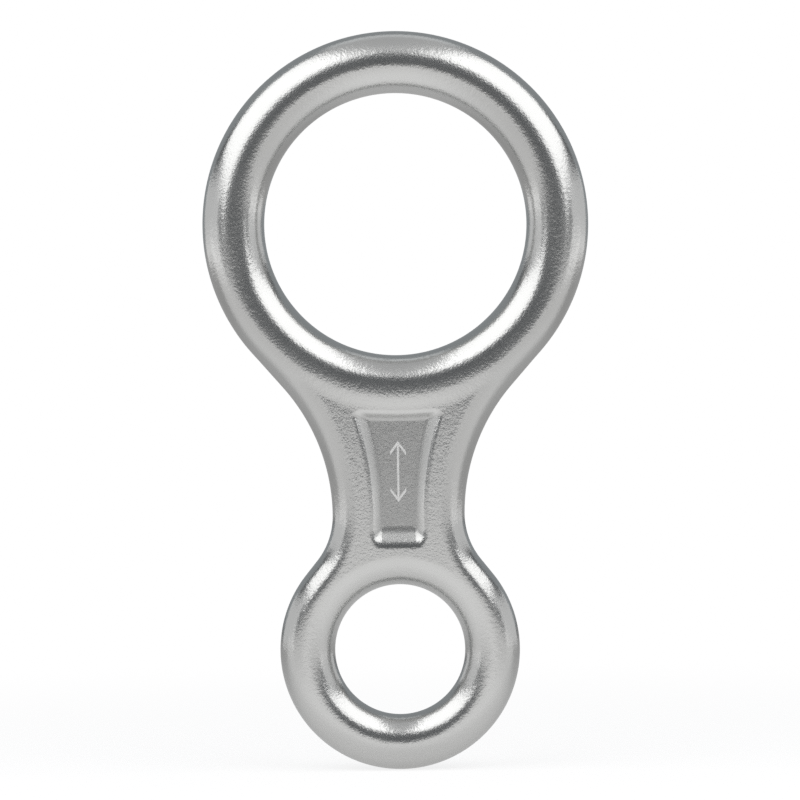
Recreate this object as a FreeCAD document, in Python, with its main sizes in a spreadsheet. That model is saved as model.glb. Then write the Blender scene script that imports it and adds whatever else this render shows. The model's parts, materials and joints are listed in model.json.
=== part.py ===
import FreeCAD, Part
import math
import os

import Sketcher
from FreeCAD import Vector

# Figure-eight descender: one forged aluminium body with a large rope ring, a web with a recessed panel on
# both faces, and a small carabiner eye.
# Millimetres. The origin is the centre of the carabiner eye, +Z runs up to the rope ring, and both rings
# lie in the XZ plane, so their holes run along Y.

NODE = "descender_body"

DIMENSIONS = (
    ("eye_hole_radius", 13.2),
    ("eye_outer_radius", 24.35),
    ("ring_hole_radius", 26.65),
    ("ring_outer_radius", 39.2),
    ("centre_distance", 86.4),
    ("ring_thickness", 12.5),
    ("ring_corner_radius", 4.8),
    ("ring_land_width", 2.0),
    ("web_thickness", 10.0),
    ("web_edge_radius", 4.0),
    ("neck_height", 27.3),
    ("neck_half_width", 13.42),
    ("lower_waist_radius", 14.6),
    ("upper_waist_radius", 39.7),
    ("panel_half_width", 5.4),
    ("panel_side_radius", 64.0),
    ("panel_bottom_height", 21.5),
    ("panel_top_height", 48.6),
    ("panel_top_radius", 80.0),
    ("panel_depth", 1.3),
    ("panel_draft_angle", 55.0),
    ("panel_low_corner_radius", 1.6),
    ("panel_high_corner_radius", 1.2),
    ("panel_rim_radius", 1.0),
    ("panel_floor_radius", 0.5),
)

START, END, CENTRE = 1, 2, 3
ORIGIN, VERTICAL_AXIS = -1, -2
SMALL = 0.001


def make_sheet(document):
    """The driving dimensions, one row each: the name, then the aliased number."""
    sheet = document.addObject("Spreadsheet::Sheet", "dimensions")
    for row, (name, value) in enumerate(DIMENSIONS, start=1):
        sheet.set(f"A{row}", name)
        sheet.set(f"B{row}", str(value))
        sheet.setAlias(f"B{row}", name)
    document.recompute()
    return sheet


def new_sketch(body, name, role):
    """An empty sketch on one of the body's own origin planes."""
    plane = next(item for item in body.Origin.OriginFeatures if item.Role == role)
    sketch = body.newObject("Sketcher::SketchObject", name)
    sketch.AttachmentSupport = [(plane, "")]
    sketch.MapMode = "FlatFace"
    return sketch


def relate(sketch, *constraint):
    sketch.addConstraint(Sketcher.Constraint(*constraint))


def bind(sketch, expression, *constraint):
    """Add a dimension that follows the sheet. The constraint's last number is only its first value."""
    index = sketch.addConstraint(Sketcher.Constraint(*constraint))
    sketch.setExpression(f"Constraints[{index}]", expression)


def point(centre, radius=0.0, angle=0.0):
    """The sketch point at a distance and an angle from a centre."""
    return Vector(centre[0] + radius * math.cos(angle), centre[1] + radius * math.sin(angle), 0)


def circle(centre, radius):
    return Part.Circle(point(centre), Vector(0, 0, 1), radius)


def arc(centre, radius, first_angle, last_angle):
    return Part.ArcOfCircle(circle(centre, radius), first_angle, last_angle)


def line(start, end):
    return Part.LineSegment(start, end)


def touch_angle(centre, radius, waist_centre, waist_radius, turn):
    """Where the line that crosses between a ring and its waist arc touches the ring, as an angle."""
    across = waist_centre[0] - centre[0]
    along = waist_centre[1] - centre[1]
    opening = math.acos((radius + waist_radius) / math.hypot(across, along))
    return math.atan2(along, across) + turn * opening


def draw_rings(sketch, sheet, low, high):
    """The eye's round end, the web's top inside the rope ring's material, and the rope ring's rim as a
    guide."""
    ring_centre = (0, sheet.centre_distance)
    middle_radius = (sheet.ring_hole_radius + sheet.ring_outer_radius) / 2
    eye = sketch.addGeometry(arc((0, 0), sheet.eye_outer_radius, math.pi - low, 2 * math.pi + low))
    top = sketch.addGeometry(arc(ring_centre, middle_radius, math.pi - high, 2 * math.pi + high))
    rim = sketch.addGeometry(circle(ring_centre, sheet.ring_outer_radius), True)
    relate(sketch, "Coincident", eye, CENTRE, ORIGIN, START)
    relate(sketch, "Coincident", top, CENTRE, rim, CENTRE)
    relate(sketch, "PointOnObject", rim, CENTRE, VERTICAL_AXIS)
    bind(sketch, "dimensions.centre_distance", "DistanceY", rim, CENTRE, sheet.centre_distance)
    bind(sketch, "dimensions.eye_outer_radius", "Radius", eye, sheet.eye_outer_radius)
    bind(sketch, "dimensions.ring_outer_radius", "Radius", rim, sheet.ring_outer_radius)
    middle = "(dimensions.ring_hole_radius + dimensions.ring_outer_radius) / 2"
    bind(sketch, middle, "Radius", top, middle_radius)
    return eye, top, rim


def draw_waist(sketch, sheet, side, rings, low, high):
    """One side of the waist, from the eye to the rope ring. side is 1 at +X and -1 at -X."""
    eye, top, rim = rings
    ring_centre = (0, sheet.centre_distance)
    middle_radius = (sheet.ring_hole_radius + sheet.ring_outer_radius) / 2
    lower_centre = (side * (sheet.neck_half_width + sheet.lower_waist_radius), sheet.neck_height)
    upper_centre = (side * (sheet.neck_half_width + sheet.upper_waist_radius), sheet.neck_height)
    if side > 0:
        ring_end, neck_end, far_end = END, START, END
        lower_angles = (math.pi, math.pi + low)
        upper_angles = (math.pi + high, math.pi)
    else:
        low, high = math.pi - low, math.pi - high
        ring_end, neck_end, far_end = START, END, START
        lower_angles = (low + math.pi, 2 * math.pi)
        upper_angles = (0, high - math.pi)
    ring_touch = point(ring_centre, sheet.ring_outer_radius, high)

    lower_line = sketch.addGeometry(
        line(point((0, 0), sheet.eye_outer_radius, low), point(lower_centre, -sheet.lower_waist_radius, low))
    )
    lower = sketch.addGeometry(arc(lower_centre, sheet.lower_waist_radius, *lower_angles))
    upper = sketch.addGeometry(arc(upper_centre, sheet.upper_waist_radius, *upper_angles))
    upper_line = sketch.addGeometry(line(point(upper_centre, -sheet.upper_waist_radius, high), ring_touch))
    inward_line = sketch.addGeometry(line(ring_touch, point(ring_centre, middle_radius, high)))

    relate(sketch, "Tangent", eye, ring_end, lower_line, START)
    relate(sketch, "Tangent", lower_line, END, lower, far_end)
    relate(sketch, "Tangent", lower, neck_end, upper, far_end)
    relate(sketch, "Tangent", upper, neck_end, upper_line, START)
    relate(sketch, "Tangent", upper_line, END, rim)
    relate(sketch, "Coincident", upper_line, END, inward_line, START)
    relate(sketch, "Perpendicular", upper_line, inward_line)
    relate(sketch, "Coincident", inward_line, END, top, ring_end)
    bind(sketch, "dimensions.lower_waist_radius", "Radius", lower, sheet.lower_waist_radius)
    bind(sketch, "dimensions.upper_waist_radius", "Radius", upper, sheet.upper_waist_radius)
    bind(sketch, "dimensions.neck_height", "DistanceY", lower, CENTRE, sheet.neck_height)
    bind(sketch, "dimensions.neck_height", "DistanceY", lower, neck_end, sheet.neck_height)
    neck_position = f"{side} * dimensions.neck_half_width"
    bind(sketch, neck_position, "DistanceX", lower, neck_end, side * sheet.neck_half_width)


def make_web(body, sheet):
    """The eye and the web: one plate, symmetric about the XZ plane, still without its eye hole."""
    sketch = new_sketch(body, "web_outline", "XZ_Plane")
    lower_centre = (sheet.neck_half_width + sheet.lower_waist_radius, sheet.neck_height)
    upper_centre = (sheet.neck_half_width + sheet.upper_waist_radius, sheet.neck_height)
    ring_centre = (0, sheet.centre_distance)
    low = touch_angle((0, 0), sheet.eye_outer_radius, lower_centre, sheet.lower_waist_radius, -1)
    high = touch_angle(ring_centre, sheet.ring_outer_radius, upper_centre, sheet.upper_waist_radius, 1)
    rings = draw_rings(sketch, sheet, low, high)
    for side in (1, -1):
        draw_waist(sketch, sheet, side, rings, low, high)

    web = body.newObject("PartDesign::Pad", "web")
    web.Profile = sketch
    web.SideType = "Symmetric"
    web.setExpression("Length", "dimensions.web_thickness")
    return web


def cut_eye_hole(body, sheet):
    sketch = new_sketch(body, "eye_hole_circle", "XZ_Plane")
    hole = sketch.addGeometry(circle((0, 0), sheet.eye_hole_radius))
    relate(sketch, "Coincident", hole, CENTRE, ORIGIN, START)
    bind(sketch, "dimensions.eye_hole_radius", "Radius", hole, sheet.eye_hole_radius)
    pocket = body.newObject("PartDesign::Pocket", "eye_hole")
    pocket.Profile = sketch
    pocket.SideType = "Symmetric"
    pocket.setExpression("Length", "2 * dimensions.web_thickness")
    return pocket


def round_edges(body, base, name, radius, wanted):
    """Fillet the base's edges whose middle point is wanted."""
    names = []
    for number, edge in enumerate(base.Shape.Edges, start=1):
        middle = edge.valueAt((edge.FirstParameter + edge.LastParameter) / 2)
        if wanted(middle):
            names.append(f"Edge{number}")
    fillet = body.newObject("PartDesign::Fillet", name)
    fillet.Base = (base, names)
    fillet.setExpression("Radius", f"dimensions.{radius}")
    return fillet


REACH = "((dimensions.ring_outer_radius - dimensions.ring_hole_radius) / 2 - dimensions.ring_corner_radius)"
DROP = "((dimensions.ring_thickness - dimensions.ring_land_width) / 2 - dimensions.ring_corner_radius)"
CREST_RADIUS = f"dimensions.ring_corner_radius + ({REACH}^2 + {DROP}^2) / (2 * {DROP})"


def make_rope_ring(body, sheet):
    """The rope ring, turned from an oval section: a land at the hole and at the rim, round corners between
    them and a crowned crest on each face."""
    sketch = new_sketch(body, "ring_section", "YZ_Plane")
    sketch.setExpression("AttachmentOffset.Base.y", "dimensions.centre_distance")
    land = sheet.ring_land_width / 2
    corner = sheet.ring_corner_radius
    middle = (sheet.ring_hole_radius + sheet.ring_outer_radius) / 2
    reach = (sheet.ring_outer_radius - sheet.ring_hole_radius) / 2 - corner
    drop = sheet.ring_thickness / 2 - land - corner
    crest_radius = corner + (reach**2 + drop**2) / (2 * drop)
    crest_centre = sheet.ring_thickness / 2 - crest_radius
    turn = math.asin(reach / (crest_radius - corner))
    quarter = math.pi / 2

    lands = []
    for name in ("ring_hole_radius", "ring_outer_radius"):
        radius = getattr(sheet, name)
        flat = sketch.addGeometry(line(point((-land, radius)), point((land, radius))))
        relate(sketch, "Symmetric", flat, START, flat, END, VERTICAL_AXIS)
        bind(sketch, "dimensions.ring_land_width", "DistanceX", flat, START, flat, END, 2 * land)
        bind(sketch, f"dimensions.{name}", "DistanceY", flat, START, radius)
        lands.append(flat)

    low, high = middle - reach, middle + reach
    right_low = sketch.addGeometry(arc((land, low), corner, -quarter, -turn))
    right_crest = sketch.addGeometry(arc((crest_centre, middle), crest_radius, -turn, turn))
    right_high = sketch.addGeometry(arc((land, high), corner, turn, quarter))
    left_high = sketch.addGeometry(arc((-land, high), corner, quarter, math.pi - turn))
    left_crest = sketch.addGeometry(
        arc((-crest_centre, middle), crest_radius, math.pi - turn, math.pi + turn)
    )
    left_low = sketch.addGeometry(arc((-land, low), corner, math.pi + turn, math.pi + quarter))
    hole_land, rim_land = lands
    chain = (
        (hole_land, END, right_low, START),
        (right_low, END, right_crest, START),
        (right_crest, END, right_high, START),
        (right_high, END, rim_land, END),
        (rim_land, START, left_high, START),
        (left_high, END, left_crest, START),
        (left_crest, END, left_low, START),
        (left_low, END, hole_land, START),
    )
    for joint in chain:
        relate(sketch, "Tangent", *joint)
    for corner_arc in (right_low, right_high, left_high, left_low):
        bind(sketch, "dimensions.ring_corner_radius", "Radius", corner_arc, corner)
    for crest_arc in (right_crest, left_crest):
        bind(sketch, CREST_RADIUS, "Radius", crest_arc, crest_radius)

    ring = body.newObject("PartDesign::Revolution", "rope_ring")
    ring.Profile = sketch
    ring.ReferenceAxis = (sketch, ["H_Axis"])
    ring.Angle = 360
    return ring


def draw_panel(body, sheet):
    """The panel's keystone outline on the front face: sides that follow the waist, under a gentle arch."""
    sketch = new_sketch(body, "panel_outline", "XZ_Plane")
    sketch.setExpression("AttachmentOffset.Base.z", "dimensions.web_thickness / 2")
    side_radius = sheet.panel_side_radius
    side_centre = sheet.panel_half_width + side_radius
    bottom = sheet.panel_bottom_height
    top = sheet.panel_top_height
    low = math.asin((sheet.neck_height - bottom) / side_radius)
    high = math.asin((top - sheet.neck_height) / side_radius)
    low_x = side_centre - side_radius * math.cos(low)
    high_x = side_centre - side_radius * math.cos(high)
    spread = math.asin(high_x / sheet.panel_top_radius)
    down = 1.5 * math.pi

    floor = sketch.addGeometry(line(point((-low_x, bottom)), point((low_x, bottom))))
    right = sketch.addGeometry(
        arc((side_centre, sheet.neck_height), side_radius, math.pi - high, math.pi + low)
    )
    left = sketch.addGeometry(arc((-side_centre, sheet.neck_height), side_radius, -low, high))
    roof = sketch.addGeometry(
        arc((0, top + sheet.panel_top_radius), sheet.panel_top_radius, down - spread, down + spread)
    )
    relate(sketch, "Coincident", floor, END, right, END)
    relate(sketch, "Coincident", right, START, roof, END)
    relate(sketch, "Coincident", roof, START, left, END)
    relate(sketch, "Coincident", left, START, floor, START)
    relate(sketch, "Horizontal", floor)
    bind(sketch, "dimensions.panel_bottom_height", "DistanceY", floor, START, bottom)
    for side, flank in ((1, right), (-1, left)):
        place = f"{side} * (dimensions.panel_half_width + dimensions.panel_side_radius)"
        bind(sketch, place, "DistanceX", flank, CENTRE, side * side_centre)
        bind(sketch, "dimensions.neck_height", "DistanceY", flank, CENTRE, sheet.neck_height)
        bind(sketch, "dimensions.panel_side_radius", "Radius", flank, side_radius)
    relate(sketch, "PointOnObject", roof, CENTRE, VERTICAL_AXIS)
    roof_height = "dimensions.panel_top_height + dimensions.panel_top_radius"
    bind(sketch, roof_height, "DistanceY", roof, CENTRE, top + sheet.panel_top_radius)
    bind(sketch, "dimensions.panel_top_radius", "Radius", roof, sheet.panel_top_radius)
    return sketch


def cut_panels(body, sheet):
    """The drafted recess in the front face, and its mirror image in the back face."""
    panel = body.newObject("PartDesign::Pocket", "front_panel")
    panel.Profile = draw_panel(body, sheet)
    panel.setExpression("Length", "dimensions.panel_depth")
    panel.setExpression("TaperAngle", "-dimensions.panel_draft_angle")
    body.Document.recompute()
    mirror_plane = next(item for item in body.Origin.OriginFeatures if item.Role == "XZ_Plane")
    both = body.newObject("PartDesign::Mirrored", "back_panel")
    both.Originals = [panel]
    both.MirrorPlane = (mirror_plane, [""])
    body.Tip = both
    return panel, both


class EdgeFinder:
    """Says where on the forging an edge lies, from the middle point of the edge."""

    def __init__(self, sheet):
        self.ring_height = sheet.centre_distance
        self.ring_radius = sheet.ring_outer_radius
        self.face = sheet.web_thickness / 2
        self.floor = self.face - sheet.panel_depth
        self.panel_heights = (sheet.panel_bottom_height, sheet.panel_top_height)
        self.panel_reach = sheet.neck_half_width - sheet.web_edge_radius

    def on_outline(self, spot):
        clear_of_ring = math.hypot(spot.x, spot.z - self.ring_height) > self.ring_radius - SMALL
        return clear_of_ring and abs(abs(spot.y) - self.face) < SMALL

    def in_panel(self, spot):
        low, high = self.panel_heights
        return low - SMALL < spot.z < high + SMALL and abs(spot.x) < self.panel_reach

    def at_panel_corner(self, spot):
        return self.in_panel(spot) and self.floor + SMALL < abs(spot.y) < self.face - SMALL

    def at_low_corner(self, spot):
        return self.at_panel_corner(spot) and spot.z < sum(self.panel_heights) / 2

    def at_high_corner(self, spot):
        return self.at_panel_corner(spot) and spot.z > sum(self.panel_heights) / 2

    def on_panel_rim(self, spot):
        return self.in_panel(spot) and abs(abs(spot.y) - self.face) < SMALL

    def on_panel_floor(self, spot):
        return self.in_panel(spot) and abs(abs(spot.y) - self.floor) < SMALL


def check_volume(before, feature, grows):
    """A feature that points the wrong way changes nothing and shows no error, so the volumes are compared."""
    feature.Document.recompute()
    if (feature.Shape.Volume > before.Shape.Volume) != grows:
        raise ValueError(f"{feature.Name} changed the volume the wrong way")
    return feature


def make_descender(document, sheet):
    """The whole forging as one body: plate, eye hole, rounded edges, rope ring, and a panel in each face."""
    body = document.addObject("PartDesign::Body", NODE)
    edges = EdgeFinder(sheet)
    web = make_web(body, sheet)
    document.recompute()
    eye = check_volume(web, cut_eye_hole(body, sheet), grows=False)
    rounded = round_edges(body, eye, "web_edges", "web_edge_radius", edges.on_outline)
    check_volume(eye, rounded, grows=False)
    ring = check_volume(rounded, make_rope_ring(body, sheet), grows=True)
    front, panels = cut_panels(body, sheet)
    check_volume(ring, front, grows=False)
    check_volume(front, panels, grows=False)

    rounding = (
        ("low_corners", "panel_low_corner_radius", edges.at_low_corner),
        ("high_corners", "panel_high_corner_radius", edges.at_high_corner),
        ("panel_rims", "panel_rim_radius", edges.on_panel_rim),
        ("panel_floors", "panel_floor_radius", edges.on_panel_floor),
    )
    latest = panels
    for name, radius, wanted in rounding:
        latest = round_edges(body, latest, name, radius, wanted)
        document.recompute()
    body.Tip = latest
    body.Placement = FreeCAD.Placement(Vector(0, 0, 0), FreeCAD.Rotation())
    return body


def check(document, body):
    """Stop if any object failed to build, or if the body isn't one sound solid."""
    document.recompute()
    for item in document.Objects:
        if "Invalid" in item.State or "Error" in item.State:
            raise ValueError(f"{item.Name} failed to build")
    shape = body.Shape
    if shape.isNull() or not shape.isValid() or len(shape.Solids) != 1:
        raise ValueError(f"{body.Label} is not one valid solid")


def main():
    document = FreeCAD.newDocument("descender")
    sheet = make_sheet(document)
    body = make_descender(document, sheet)
    check(document, body)
    os.makedirs("parts", exist_ok=True)
    body.Shape.exportStep(f"parts/{body.Label}.step")
    box = body.Shape.optimalBoundingBox()
    size = f"{box.XLength:.2f} x {box.YLength:.2f} x {box.ZLength:.2f} mm"
    print(f"{body.Label}: {body.Shape.Volume:.1f} mm3, {size}")


main()
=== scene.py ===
import json
import math

import bpy
import numpy as np
from mathutils import Matrix, Vector


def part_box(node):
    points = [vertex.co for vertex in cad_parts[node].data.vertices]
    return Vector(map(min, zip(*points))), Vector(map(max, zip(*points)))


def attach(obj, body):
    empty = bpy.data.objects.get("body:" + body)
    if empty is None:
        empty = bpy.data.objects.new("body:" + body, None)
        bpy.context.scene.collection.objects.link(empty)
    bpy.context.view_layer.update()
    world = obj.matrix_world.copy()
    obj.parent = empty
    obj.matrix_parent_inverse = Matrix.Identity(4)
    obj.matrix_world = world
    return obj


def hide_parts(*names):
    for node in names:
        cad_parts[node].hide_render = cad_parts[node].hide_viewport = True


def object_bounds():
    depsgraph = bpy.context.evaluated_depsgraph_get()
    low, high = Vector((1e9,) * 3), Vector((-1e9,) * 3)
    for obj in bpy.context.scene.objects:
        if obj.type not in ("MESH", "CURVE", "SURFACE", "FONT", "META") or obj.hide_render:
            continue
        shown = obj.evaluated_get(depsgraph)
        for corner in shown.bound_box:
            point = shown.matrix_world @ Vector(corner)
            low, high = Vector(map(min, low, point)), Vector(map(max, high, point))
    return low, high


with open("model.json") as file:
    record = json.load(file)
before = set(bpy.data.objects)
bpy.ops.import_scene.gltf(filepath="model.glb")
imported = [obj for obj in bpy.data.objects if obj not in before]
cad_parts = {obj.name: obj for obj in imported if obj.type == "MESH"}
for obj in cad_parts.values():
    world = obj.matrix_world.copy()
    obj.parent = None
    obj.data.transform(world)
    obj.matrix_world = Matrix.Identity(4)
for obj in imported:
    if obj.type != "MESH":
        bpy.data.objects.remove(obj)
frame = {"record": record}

CAD_BOX = [list(corner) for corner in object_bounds()]
NODE = "descender_body"
MM = 0.001


# ---------------------------------------------------------------- the forging's shape, in millimetres

MOUNTS = {mount["name"]: mount for mount in frame["record"]["mounts"]}
LOW, HIGH = (np.array(corner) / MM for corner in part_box(NODE))

# How far the blend between the rope ring and the web stands proud of the ring's crest.
JUNCTION_SWELL = 0.17

RING_HEIGHT = MOUNTS["rope_ring"]["pos_m"][2] / MM
RING_HOLE = MOUNTS["rope_ring"]["dims"]["r_mm"]
RING_OUTER = min(HIGH[0], HIGH[2] - RING_HEIGHT)
RING_MIDDLE = (RING_OUTER + RING_HOLE) / 2
RING_HALF_WIDTH = (RING_OUTER - RING_HOLE) / 2
RING_HALF_THICKNESS = (HIGH[1] - LOW[1]) / 2 - JUNCTION_SWELL

EYE_HOLE = MOUNTS["carabiner_eye"]["dims"]["r_mm"]
EYE_OUTER = -LOW[2]

WEB_HALF_THICKNESS = 4.9
WEB_TAPER = 0.0125
WEB_TAPER_TOP = 56.0
WEB_FADE_LENGTH = 30.0
NECK_HEIGHT = 27.3
NECK_HALF_WIDTH = 13.42
LOWER_WAIST = 14.6
UPPER_WAIST = 39.7
OUTER_ROUNDING = 5.2
HOLE_ROUNDING = 6.0
HOLE_WALL_SLANT = 0.22
SQUARENESS = 2.15
JUNCTION_SOFTNESS = 0.15
JUNCTION_FILL = 0.08
JUNCTION_FILL_START = 4.0
JUNCTION_FILL_END = 6.5

# How far outside the middle of its section the rope ring's crest lies, at the top and beside the web, and
# how much the outer flank widens into the web. Both change over a stretch of the way down the ring, which
# is 0 level with the ring's centre and 1 straight below it.
CREST_SHIFT_TOP = -0.4
CREST_SHIFT_WEB = 1.6
CREST_SHIFT_STRETCH = (0.0, 0.7)
CREST_WIDENING = 1.0
CREST_WIDENING_STRETCH = (0.87, 0.99)

PANEL_HALF_WIDTH = 5.45
PANEL_SIDE = 64.0
PANEL_BOTTOM = 21.4
PANEL_TOP = 48.1
PANEL_ARCH = 80.0
PANEL_DEPTH = 1.3
PANEL_WALL = 2.0
PANEL_LOW_END_SLOPE = 0.68
PANEL_HIGH_END_SLOPE = 1.5
PANEL_FOOT_ROUNDING = 0.65
PANEL_RIM_ROUNDING = 0.42
PANEL_CORNER = 2.3


def smooth_min(a, b, reach):
    """The lower of two distances, with the crease between them filled over that reach."""
    reach = np.maximum(reach, 1e-6)
    overlap = np.maximum(reach - np.abs(a - b), 0.0)
    return np.minimum(a, b) - overlap**2 / (4 * reach)


def smooth_max(a, b, reach):
    """The higher of two distances, with the edge between them eased over that reach."""
    return -smooth_min(-a, -b, reach)


def rounded_max(a, b, radius):
    """The higher of two distances, with the corner between them rounded to that radius."""
    past_corner = np.hypot(np.maximum(a + radius, 0.0), np.maximum(b + radius, 0.0)) - radius
    return past_corner + np.minimum(np.maximum(a, b) + radius, 0.0)


def ease(value, low, high):
    """0 below low, 1 above high, and smooth between."""
    share = np.clip((value - low) / (high - low), 0.0, 1.0)
    return share * share * (3 - 2 * share)


def crossing_tangent(height, radius, waist):
    """The straight line that crosses between a ring and its waist arc, on the +X side: the outward
    direction of the line, and where it touches the ring and the arc."""
    across = NECK_HALF_WIDTH + waist
    along = NECK_HEIGHT - height
    opening = math.acos((radius + waist) / math.hypot(across, along))
    angle = math.atan2(along, across) - math.copysign(opening, along)
    outward = np.array([math.cos(angle), math.sin(angle)])
    ring_point = np.array([0.0, height]) + radius * outward
    arc_point = np.array([across, NECK_HEIGHT]) - waist * outward
    return outward, ring_point, arc_point


LOW_TANGENT = crossing_tangent(0.0, EYE_OUTER, LOWER_WAIST)
HIGH_TANGENT = crossing_tangent(RING_HEIGHT, RING_OUTER, UPPER_WAIST)
WEB_TOP = HIGH_TANGENT[1][1]


def outline_distance(x, z):
    """How far a point is outside the web's outline, negative inside. The outline is the eye's rim, then a
    straight, two waist arcs and another straight up to the rope ring's rim."""
    x = np.abs(x)
    eye = np.hypot(x, z) - EYE_OUTER
    rim = np.hypot(x, z - RING_HEIGHT) - RING_OUTER
    low_out, low_ring, low_arc = LOW_TANGENT
    high_out, high_ring, high_arc = HIGH_TANGENT
    low_line = (x - low_ring[0]) * low_out[0] + (z - low_ring[1]) * low_out[1]
    high_line = (x - high_ring[0]) * high_out[0] + (z - high_ring[1]) * high_out[1]
    lower = LOWER_WAIST - np.hypot(x - NECK_HALF_WIDTH - LOWER_WAIST, z - NECK_HEIGHT)
    upper = UPPER_WAIST - np.hypot(x - NECK_HALF_WIDTH - UPPER_WAIST, z - NECK_HEIGHT)

    def past(point, outward):
        """Past the line that runs through a point along outward, going up the web."""
        return (z - point[1]) * outward[0] - (x - point[0]) * outward[1] > 0

    stretches = (
        (~past(low_ring, low_out), eye),
        (~past(low_arc, low_out), low_line),
        (z < NECK_HEIGHT, lower),
        (~past(high_arc, high_out), upper),
        (~past(high_ring, high_out), high_line),
    )
    return np.select([here for here, _ in stretches], [distance for _, distance in stretches], rim)


def panel_distance(x, z):
    """How far a point is outside the recessed panel's rim, negative inside. Distances past its ends are
    scaled, so that the wall slopes less at the low end and more at the high end."""
    side = PANEL_SIDE - np.hypot(np.abs(x) - PANEL_HALF_WIDTH - PANEL_SIDE, z - NECK_HEIGHT)
    roof = PANEL_ARCH - np.hypot(x, z - PANEL_TOP - PANEL_ARCH)
    ends = np.maximum(PANEL_LOW_END_SLOPE * (PANEL_BOTTOM - z), PANEL_HIGH_END_SLOPE * roof)
    return rounded_max(side, ends, PANEL_CORNER)


def panel_rise(x, z):
    """The height of the panel's cut over its floor: 0 on the floor, then a straight slope, with a rounded
    foot between them. It goes on up past the rim, so it also cuts the rope ring's flank."""
    past_foot = panel_distance(x, z) + PANEL_WALL
    foot = PANEL_FOOT_ROUNDING
    eased = np.clip(past_foot + foot, 0.0, 2 * foot) ** 2 / (4 * foot)
    return PANEL_DEPTH / PANEL_WALL * (eased + np.maximum(past_foot - foot, 0.0))


def rounded_sum(*parts):
    """Joins the shares of a section: a point is on the surface where it comes to 1."""
    return sum(np.abs(part) ** SQUARENESS for part in parts) ** (1 / SQUARENESS)


def across_ring(x, z, from_ring):
    """Where a point is across the rope ring's section: 0 on its crest, 1 at either rim. Towards the web the
    crest moves outwards, and beside the web the outer flank widens into it."""
    downward = (RING_HEIGHT - z) / np.maximum(from_ring, 1e-6)
    shift = CREST_SHIFT_TOP + (CREST_SHIFT_WEB - CREST_SHIFT_TOP) * ease(downward, *CREST_SHIFT_STRETCH)
    widening = CREST_WIDENING * ease(downward, *CREST_WIDENING_STRETCH)
    off_crest = from_ring - RING_MIDDLE - shift
    inner = -off_crest / (RING_HALF_WIDTH + shift)
    outer = off_crest / (RING_HALF_WIDTH + widening - shift)
    return np.maximum(inner, outer)


def hole_wall(distance):
    """How far a point has turned from the web's face, 0, to a hole's wall, 1: quickly at first, as the wall
    has draft."""
    turned = np.maximum(1 - distance / HOLE_ROUNDING, 0.0)
    return turned * (1 + HOLE_WALL_SLANT * np.maximum(1 - turned, 0.0))


def web_face(z):
    """Half the web's thickness, which grows a little from the eye's foot up to the rope ring."""
    return WEB_HALF_THICKNESS + WEB_TAPER * (np.clip(z, -EYE_OUTER, WEB_TAPER_TOP) + EYE_OUTER)


def forging(points):
    """Negative inside the forging and positive outside: about the distance in millimetres near its skin."""
    x, y, z = points.T
    y = np.abs(y)
    from_ring = np.hypot(x, z - RING_HEIGHT)
    ring = rounded_sum(across_ring(x, z, from_ring), y / RING_HALF_THICKNESS)
    edge = np.maximum(1 + outline_distance(x, z) / OUTER_ROUNDING, 0.0)
    eye_hole = hole_wall(np.hypot(x, z) - EYE_HOLE)
    ring_hole = hole_wall(from_ring - RING_HOLE)
    fade = np.maximum((z - WEB_TOP) / WEB_FADE_LENGTH, 0.0)
    face = web_face(z)
    web = rounded_sum(y / face, edge, eye_hole, ring_hole, fade)
    fill = JUNCTION_FILL * ease(from_ring - RING_MIDDLE, JUNCTION_FILL_START, JUNCTION_FILL_END)
    softness = (JUNCTION_SOFTNESS + fill) * y
    body = smooth_min((ring - 1) * RING_HALF_WIDTH, (web - 1) * face, softness)
    panel_cut = y - (face - PANEL_DEPTH) - panel_rise(x, z)
    return smooth_max(body, panel_cut, PANEL_RIM_ROUNDING)


# ---------------------------------------------------------------- the skin as a mesh

COARSE_STEP = 0.5
FINE_STEP = 0.34
RELAXING_ROUNDS = 6
SLOPE_STEP = 0.01
SKIN_ROUNDS = 3
FINE_ACROSS = (-9.5, 9.5)
FINE_UP = (PANEL_BOTTOM - 1.0, PANEL_TOP + 1.5)


def grid_lines(low, high, fine_low=0.0, fine_high=0.0):
    """Places of the grid's planes along one axis, closer together over the fine stretch, if there is one."""
    places = [low - 2 * COARSE_STEP]
    while places[-1] < high + 2 * COARSE_STEP:
        step = FINE_STEP if fine_low < places[-1] < fine_high else COARSE_STEP
        places.append(places[-1] + step)
    return np.array(places)


def slopes(points):
    """The gradient of the forging's function."""
    steps = np.eye(3) * SLOPE_STEP
    return np.stack([(forging(points + s) - forging(points - s)) / (2 * SLOPE_STEP) for s in steps], axis=1)


def onto_skin(points):
    """Moves points along the gradient until they lie on the skin."""
    for _ in range(SKIN_ROUNDS):
        slope = slopes(points)
        points = points - slope * (forging(points) / np.maximum((slope**2).sum(axis=1), 1e-3))[:, None]
    return points


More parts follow.
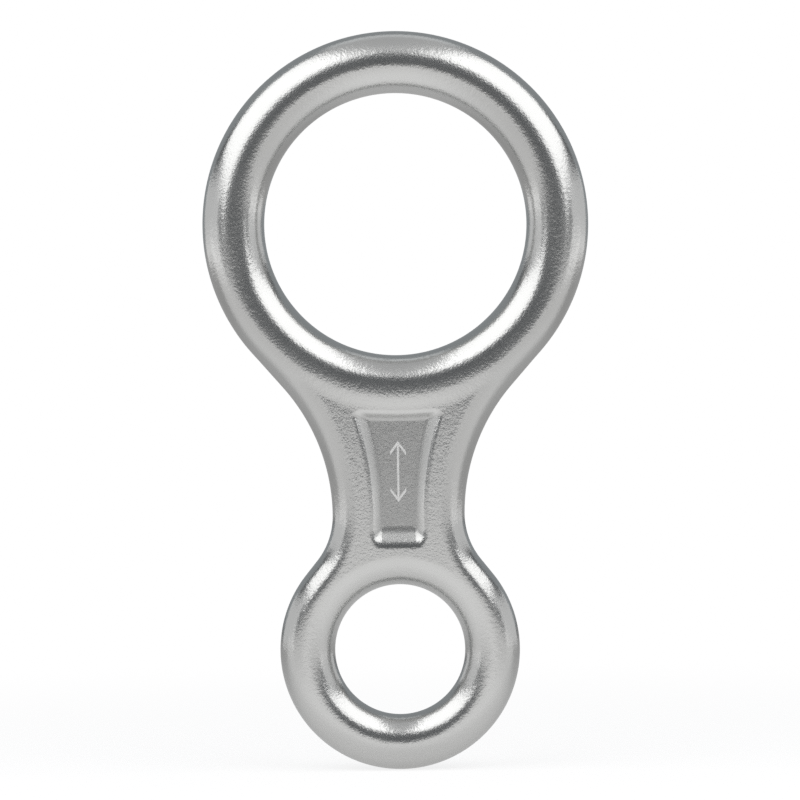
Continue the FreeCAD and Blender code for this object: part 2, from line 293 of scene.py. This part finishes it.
def skin():
    """Points and four-sided faces of the forging's skin: one point in each grid cell that the skin crosses,
    and a face across each grid edge that it crosses."""
    lines = (
        grid_lines(LOW[0], HIGH[0], *FINE_ACROSS),
        grid_lines(LOW[1], HIGH[1]),
        grid_lines(LOW[2], HIGH[2], *FINE_UP),
    )
    corners = np.stack(np.meshgrid(*lines, indexing="ij"), axis=-1)
    inside = (forging(corners.reshape(-1, 3)) < 0).reshape(corners.shape[:3])
    counts = sum(
        inside[i:i - 1 or None, j:j - 1 or None, k:k - 1 or None].astype(int)
        for i in (0, 1) for j in (0, 1) for k in (0, 1)
    )
    crossed = (counts > 0) & (counts < 8)
    numbers = np.full(crossed.shape, -1)
    numbers[crossed] = np.arange(crossed.sum())
    middles = [(line[1:] + line[:-1]) / 2 for line in lines]
    points = np.stack(np.meshgrid(*middles, indexing="ij"), axis=-1)[crossed]

    faces = []
    for axis in range(3):
        solid = np.moveaxis(inside, axis, 0)
        cells = np.moveaxis(numbers, axis, 0)
        near, far = solid[:-1, 1:-1, 1:-1], solid[1:, 1:-1, 1:-1]
        around = np.stack(
            [cells[:, :-1, :-1], cells[:, 1:, :-1], cells[:, 1:, 1:], cells[:, :-1, 1:]], axis=-1
        )
        turned = axis == 1
        for edge, flip in ((near & ~far, turned), (far & ~near, not turned)):
            found = around[edge]
            faces.append(found[:, ::-1] if flip else found)
    return points, np.concatenate(faces)


def relax(points, faces):
    """Evens out the faces: each point moves to the middle of its neighbours and back onto the skin."""
    ends = np.concatenate([faces[:, [i, (i + 1) % 4]] for i in range(4)])
    shared = np.bincount(ends[:, 0], minlength=len(points))[:, None]
    for _ in range(RELAXING_ROUNDS):
        totals = [np.bincount(ends[:, 0], points[ends[:, 1], axis], len(points)) for axis in range(3)]
        points = onto_skin(np.stack(totals, axis=1) / shared)
    return points


def make_forging():
    """The finished skin, in metres, with normals from the function itself and each point's share of the
    panel's depth."""
    points, faces = skin()
    points = relax(onto_skin(points), faces)
    mesh = bpy.data.meshes.new("forging")
    mesh.from_pydata(points * MM, [], faces)
    mesh.shade_smooth()
    mesh.normals_split_custom_set_from_vertices(slopes(points))
    depth = mesh.attributes.new("panel", "FLOAT", "POINT")
    share = 1 - np.clip(panel_rise(points[:, 0], points[:, 2]) / PANEL_DEPTH, 0.0, 1.0)
    depth.data.foreach_set("value", share.astype(np.float32))
    piece = bpy.data.objects.new("forging", mesh)
    bpy.context.scene.collection.objects.link(piece)
    return piece


# ---------------------------------------------------------------- materials

class Nodes:
    """Adds nodes to a material or world, and wires them by socket."""

    def __init__(self, tree):
        self.tree = tree
        tree.nodes.clear()

    def add(self, kind, settings=(), **inputs):
        node = self.tree.nodes.new(kind)
        for name, value in dict(settings).items():
            setattr(node, name, value)
        for name, value in inputs.items():
            self.feed(node.inputs[name.replace("_", " ")], value)
        return node

    def feed(self, socket, value):
        if isinstance(value, bpy.types.NodeSocket):
            self.tree.links.new(value, socket)
        else:
            socket.default_value = value

    def math(self, operation, first, second=0.0, third=0.0):
        node = self.add("ShaderNodeMath", {"operation": operation})
        for socket, value in zip(node.inputs, (first, second, third)):
            self.feed(socket, value)
        return node.outputs[0]

    def ramp(self, value, low, high, start=0.0, end=1.0):
        """value from low to high becomes start to end, eased at both ends."""
        node = self.add("ShaderNodeMapRange", {"interpolation_type": "SMOOTHSTEP"})
        for socket, number in zip(node.inputs, (value, low, high, start, end)):
            self.feed(socket, number)
        return node.outputs[0]

    def noise(self, place, size_mm, detail=2.0):
        """Noise from 0 to 1 whose grains are about that size."""
        node = self.add("ShaderNodeTexNoise", Vector=place, Scale=1 / (size_mm * MM), Detail=detail)
        return node.outputs[0]

    def blend(self, share, first, second):
        node = self.add("ShaderNodeMix", {"data_type": "RGBA"})
        self.feed(node.inputs[0], share)
        self.feed(node.inputs[6], first)
        self.feed(node.inputs[7], second)
        return node.outputs[2]


ARROW_MIDDLE = 36.2
ARROW_HALF_LENGTH = 5.8
ARROW_HALF_WIDTH = 1.6
ARROW_STROKE = 0.42


def arrow_mask(nodes, place):
    """1 on the etched load-axis mark, a plain arrow with a head at each end, and 0 off it."""
    split = nodes.add("ShaderNodeSeparateXYZ", Vector=place)
    x = nodes.math("MULTIPLY", nodes.math("ABSOLUTE", split.outputs["X"]), 1 / MM)
    z = nodes.math("ABSOLUTE", nodes.math("SUBTRACT", split.outputs["Z"], ARROW_MIDDLE * MM))
    from_tip = nodes.math("MULTIPLY_ADD", z, -1 / MM, ARROW_HALF_LENGTH)
    half = ARROW_STROKE / 2
    shaft = nodes.math("MAXIMUM", nodes.math("SUBTRACT", x, half), nodes.math("SUBTRACT", half, from_tip))
    slant = nodes.math("ABSOLUTE", nodes.math("SUBTRACT", x, nodes.math("MULTIPLY", from_tip, 0.75)))
    head = nodes.math("SUBTRACT", nodes.math("MULTIPLY", slant, 0.8), half)
    head = nodes.math("MAXIMUM", head, nodes.math("SUBTRACT", x, ARROW_HALF_WIDTH))
    return nodes.ramp(nodes.math("MINIMUM", shaft, head), 0.08, -0.08)


# Sizes and the relief's height are in millimetres. Each metal is the two colours between which it varies.
GRAIN_SIZE = 0.42
DIMPLE_SIZE = 1.1
PATCH_SIZE = 14.0
RELIEF_HEIGHT = 0.029
BRIGHT_METAL = ((0.585, 0.585, 0.575, 1), (0.64, 0.64, 0.63, 1))
# The panel's darker metal is painted shade of its recess.
RECESS_SHADE_METAL = ((0.36, 0.36, 0.355, 1), (0.52, 0.52, 0.51, 1))
ETCHED_METAL = (0.80, 0.80, 0.79, 1)
BASE_ROUGHNESS = 0.19
# Depths over which the panel's painted shade and its rougher finish come in.
RECESS_SHADE_AND_FINISH_DEPTHS = (0.2, 0.95)


def forged_aluminium():
    """Hot-forged aluminium after tumbling: satin, with a fine even grain. It is rougher inside the panel,
    where the tumbling media doesn't reach, and its colour is darker there, which is painted shade of the
    recess. It has a lightly etched mark there."""
    material = bpy.data.materials.new("forged_aluminium")
    material.use_nodes = True
    nodes = Nodes(material.node_tree)
    place = nodes.add("ShaderNodeTexCoord").outputs["Object"]
    panel = nodes.add("ShaderNodeAttribute", {"attribute_name": "panel"}).outputs["Fac"]
    recess_shade_and_finish = nodes.ramp(panel, *RECESS_SHADE_AND_FINISH_DEPTHS)
    mark = nodes.math("MULTIPLY", arrow_mask(nodes, place), recess_shade_and_finish)

    grain = nodes.noise(place, GRAIN_SIZE)
    dimples = nodes.noise(place, DIMPLE_SIZE)
    patches = nodes.noise(place, PATCH_SIZE, detail=3.0)

    bright = nodes.blend(patches, *BRIGHT_METAL)
    recess_shade_colour = nodes.blend(grain, *RECESS_SHADE_METAL)
    # Painted shade: the colour darkens inside the panel's recess.
    colour = nodes.blend(nodes.math("MULTIPLY", recess_shade_and_finish, 0.7), bright, recess_shade_colour)
    colour = nodes.blend(mark, colour, ETCHED_METAL)

    rough = nodes.math("MULTIPLY_ADD", patches, 0.04, BASE_ROUGHNESS)
    rough = nodes.math("MULTIPLY_ADD", recess_shade_and_finish, 0.12, rough)
    rough = nodes.math("MULTIPLY_ADD", mark, 0.25, rough)

    relief = nodes.math("MULTIPLY_ADD", dimples, 0.9, grain)
    relief = nodes.math("MULTIPLY", relief, nodes.ramp(mark, 0.0, 1.0, 1.0, 0.3))
    bump = nodes.add("ShaderNodeBump", Strength=1.0, Distance=RELIEF_HEIGHT * MM, Height=relief)
    shader = nodes.add(
        "ShaderNodeBsdfPrincipled",
        Base_Color=colour, Roughness=rough, Metallic=1.0, Normal=bump.outputs["Normal"],
    )
    nodes.add("ShaderNodeOutputMaterial", Surface=shader.outputs[0])
    return material


# ---------------------------------------------------------------- camera, floor and light

OBJECT_SHARE_OF_FRAME = 0.922
CAMERA_DISTANCE = 0.70
CAMERA_ROLL = math.radians(0.66)
CAMERA_ASIDE = 0.54 * MM
SENSOR = 36.0


def make_camera():
    """Straight in front of the object at mid-height, with a long lens and the photographer's slight roll."""
    low, high = (Vector(corner) for corner in CAD_BOX)
    frame_height = (high.z - low.z) / OBJECT_SHARE_OF_FRAME
    data = bpy.data.cameras.new("camera")
    data.sensor_width = SENSOR
    data.lens = SENSOR * CAMERA_DISTANCE / frame_height
    data.clip_start = 0.01
    camera = bpy.data.objects.new("camera", data)
    camera.location = (CAMERA_ASIDE, -CAMERA_DISTANCE, (low.z + high.z) / 2)
    camera.rotation_euler = (math.pi / 2, CAMERA_ROLL, 0)
    bpy.context.scene.collection.objects.link(camera)
    bpy.context.scene.camera = camera


WHITE = (1, 1, 1, 1)

FLOOR_RADIUS = 6.0
FLOOR_FADE = (0.06, 0.3)
FLOOR_PAPER = (0.28, 0.28, 0.28, 1)
FLOOR_GLOW = 0.78

# How bright the floor glows in reflections: dimmer a little behind the object than in front of it, which is
# painted shade of the object, dimmer from its middle to either side, and dim past the card. The first two
# rows are two distances and the strengths at them.
FLOOR_FRONT = (0.03, -0.06, 0.54, 0.93)
FLOOR_ASIDE = (0.02, 0.10, 1.0, 0.78)
FLOOR_PAST_CARD = 0.12

CARD_PLACE = -0.75
CARD_WIDTH = 3.0
CARD_TOP = 0.038
CARD_GLOW = 0.88


def make_floor():
    """A pale floor just under the object. It takes a soft contact shadow there, and away from the object it
    fades into the white surround. In reflections it glows dimmer under and behind the object, which is
    painted shade of the object."""
    mesh = bpy.data.meshes.new("floor")
    steps = 96
    angles = [2 * math.pi * i / steps for i in range(steps)]
    rim = [(FLOOR_RADIUS * math.cos(angle), FLOOR_RADIUS * math.sin(angle), 0) for angle in angles]
    mesh.from_pydata(rim, [], [list(range(steps))])
    floor = bpy.data.objects.new("floor", mesh)
    floor.location.z = CAD_BOX[0][2]
    bpy.context.scene.collection.objects.link(floor)

    material = bpy.data.materials.new("floor")
    material.use_nodes = True
    nodes = Nodes(material.node_tree)
    place = nodes.add("ShaderNodeTexCoord").outputs["Object"]
    away = nodes.add("ShaderNodeVectorMath", {"operation": "LENGTH"}, Vector=place).outputs["Value"]
    fade = nodes.ramp(away, *FLOOR_FADE)
    seen = nodes.add("ShaderNodeLightPath").outputs["Is Camera Ray"]
    split = nodes.add("ShaderNodeSeparateXYZ", Vector=place)
    front = nodes.ramp(split.outputs["Y"], *FLOOR_FRONT)
    aside = nodes.ramp(nodes.math("ABSOLUTE", split.outputs["X"]), *FLOOR_ASIDE)
    past_card = nodes.ramp(split.outputs["Y"], CARD_PLACE - 0.06, CARD_PLACE, FLOOR_PAST_CARD, 1.0)
    # Painted shade: in reflections the floor glows dimmer under and behind the object.
    reflected = nodes.math("MULTIPLY", nodes.math("MULTIPLY", front, aside), past_card)
    strength = nodes.math("MAXIMUM", reflected, seen)
    dimmed = nodes.math("MULTIPLY", strength, FLOOR_GLOW)
    paper = nodes.add("ShaderNodeBsdfDiffuse", Color=FLOOR_PAPER)
    shine = nodes.add("ShaderNodeEmission", Color=WHITE, Strength=dimmed)
    near = nodes.add("ShaderNodeAddShader")
    nodes.feed(near.inputs[0], paper.outputs[0])
    nodes.feed(near.inputs[1], shine.outputs[0])
    glow = nodes.add("ShaderNodeEmission", Color=WHITE, Strength=strength)
    mix = nodes.add("ShaderNodeMixShader", Fac=fade)
    nodes.feed(mix.inputs[1], near.outputs[0])
    nodes.feed(mix.inputs[2], glow.outputs[0])
    nodes.add("ShaderNodeOutputMaterial", Surface=mix.outputs[0])
    mesh.materials.append(material)


def make_light(name, place, width, length, radiance, along=(0, 0, 1), colour=(1, 1, 1)):
    """A soft panel that faces the middle of the object, with its length turned as near as it can be to a
    direction. It lights the object but isn't seen itself."""
    place = Vector(place)
    facing = (place - (Vector(CAD_BOX[0]) + Vector(CAD_BOX[1])) / 2).normalized()
    lengthwise = (Vector(along) - facing * facing.dot(Vector(along))).normalized()
    data = bpy.data.lights.new(name, "AREA")
    data.shape = "RECTANGLE"
    data.size = width
    data.size_y = length
    data.energy = radiance * math.pi * width * length
    data.color = colour
    light = bpy.data.objects.new(name, data)
    light.location = place
    light.rotation_euler = Matrix((lengthwise.cross(facing), lengthwise, facing)).transposed().to_euler()
    light.visible_camera = False
    bpy.context.scene.collection.objects.link(light)


def make_lights():
    """Two high softboxes in front, a dim fill at each side, a dim panel overhead and another behind."""
    for side, name in ((-1, "left"), (1, "right")):
        make_light(f"softbox_{name}", (side * 0.304, -0.252, 0.389), 0.42, 0.65, 1.55, along=(0, 1, 0))
        make_light(f"fill_{name}", (side * 0.75, 0, 0.13), 1.2, 0.4, 0.6)
    make_light("overhead", (0, -0.15, 0.62), 0.45, 0.9, 0.42, along=(0, 1, 0))
    make_light("backdrop", (0, 0.65, 0.62), 2.4, 1.5, 0.22, colour=(0.90, 0.97, 1.0))


def make_card():
    """A low white card on the floor behind the camera. The web's flat faces reflect it."""
    low, side = CAD_BOX[0][2], CARD_WIDTH / 2
    mesh = bpy.data.meshes.new("card")
    corners = ((-side, low), (side, low), (side, CARD_TOP), (-side, CARD_TOP))
    mesh.from_pydata([(x, CARD_PLACE, z) for x, z in corners], [], [(0, 1, 2, 3)])
    card = bpy.data.objects.new("card", mesh)
    card.visible_camera = False
    bpy.context.scene.collection.objects.link(card)
    material = bpy.data.materials.new("card")
    material.use_nodes = True
    nodes = Nodes(material.node_tree)
    glow = nodes.add("ShaderNodeEmission", Color=WHITE, Strength=CARD_GLOW)
    nodes.add("ShaderNodeOutputMaterial", Surface=glow.outputs[0])
    mesh.materials.append(material)


ROOM_COLOUR = (0.90, 0.95, 1.0, 1)
ROOM_STRENGTH = 0.13


def make_surround():
    """White to the eye, and a dim cool studio to everything else."""
    world = bpy.data.worlds.new("studio")
    bpy.context.scene.world = world
    world.use_nodes = True
    nodes = Nodes(world.node_tree)
    seen = nodes.add("ShaderNodeLightPath").outputs["Is Camera Ray"]
    room = nodes.add("ShaderNodeBackground", Color=ROOM_COLOUR, Strength=ROOM_STRENGTH)
    white = nodes.add("ShaderNodeBackground", Color=WHITE, Strength=1.0)
    mix = nodes.add("ShaderNodeMixShader", Fac=seen)
    nodes.feed(mix.inputs[1], room.outputs[0])
    nodes.feed(mix.inputs[2], white.outputs[0])
    nodes.add("ShaderNodeOutputWorld", Surface=mix.outputs[0])


bpy.context.scene.view_settings.view_transform = "Standard"
bpy.context.scene.cycles.use_denoising = False
make_camera()
make_floor()
make_lights()
make_card()
make_surround()
piece = make_forging()
piece.data.materials.append(forged_aluminium())
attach(piece, "root")
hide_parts(NODE)
